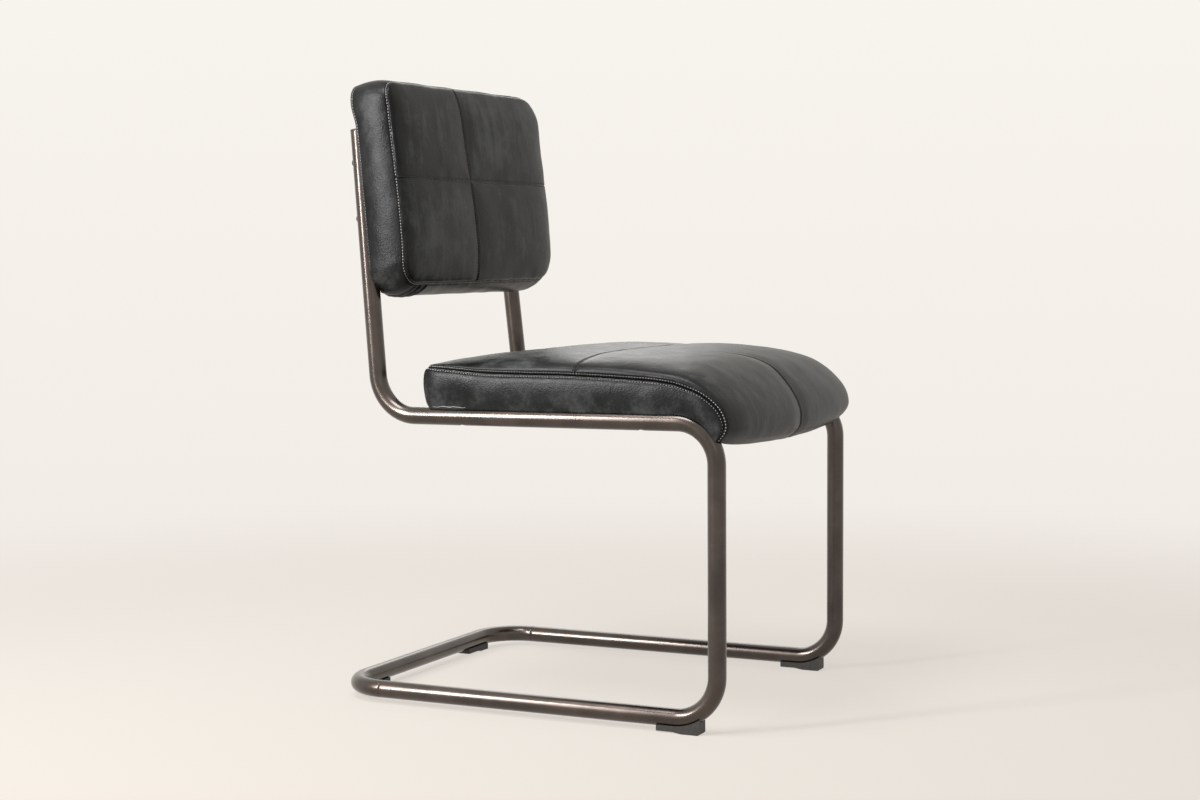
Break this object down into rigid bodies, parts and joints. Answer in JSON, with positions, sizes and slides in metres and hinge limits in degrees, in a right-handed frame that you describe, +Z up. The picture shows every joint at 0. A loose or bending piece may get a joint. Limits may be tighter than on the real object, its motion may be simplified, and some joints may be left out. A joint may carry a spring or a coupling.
{
  "type": "cantilever chair",
  "caption": "Cantilever side chair: a bent tube frame with open floor runners carries a padded leather seat with a rolled front and a padded leather back.",
  "frame": {"origin": "on the floor under the middle of the chair's outline", "axes": "+Z up, -Y towards the front of the chair, +X towards the sitter's left"},
  "size_m": [0.497, 0.6325, 0.8905],
  "materials": {
    "frame_tube": "brown-black lacquer, satin",
    "leather": "waxed charcoal leather, soft sheen",
    "plastic": "moulded, matt",
    "dark_steel": "blackened",
    "plain_steel": "zinc plated",
    "plywood": "raw plywood",
    "foam": "open-cell foam",
    "lining": "thin black felt"
  },
  "bodies": {
    "root": {"side_tube_left": "frame_tube", "side_tube_right": "frame_tube", "rear_floor_tube": "frame_tube", "joint_spigot_left": "plain_steel", "joint_spigot_right": "plain_steel", "upright_cap_left": "plastic", "upright_cap_right": "plastic", "front_glide_left": "plastic", "front_glide_right": "plastic", "rear_glide_left": "plastic", "rear_glide_right": "plastic", "front_glide_screws": "plain_steel", "rear_glide_screws": "plain_steel", "seat_board": "plywood", "seat_lining": "lining", "seat_cover_front_left": "leather", "seat_cover_front_right": "leather", "seat_cover_rear_left": "leather", "seat_cover_rear_right": "leather", "seat_band_left": "leather", "seat_band_right": "leather", "seat_band_rear": "leather", "seat_foam": "foam", "seat_bolts": "dark_steel", "seat_tee_nuts": "plain_steel", "back_board": "plywood", "back_rear_panel": "leather", "back_band": "leather", "back_cover_lower_left": "leather", "back_cover_lower_right": "leather", "back_cover_upper_left": "leather", "back_cover_upper_right": "leather", "back_foam": "foam", "back_bolts": "dark_steel", "back_tee_nuts": "plain_steel"}
  },
  "joints": []
}
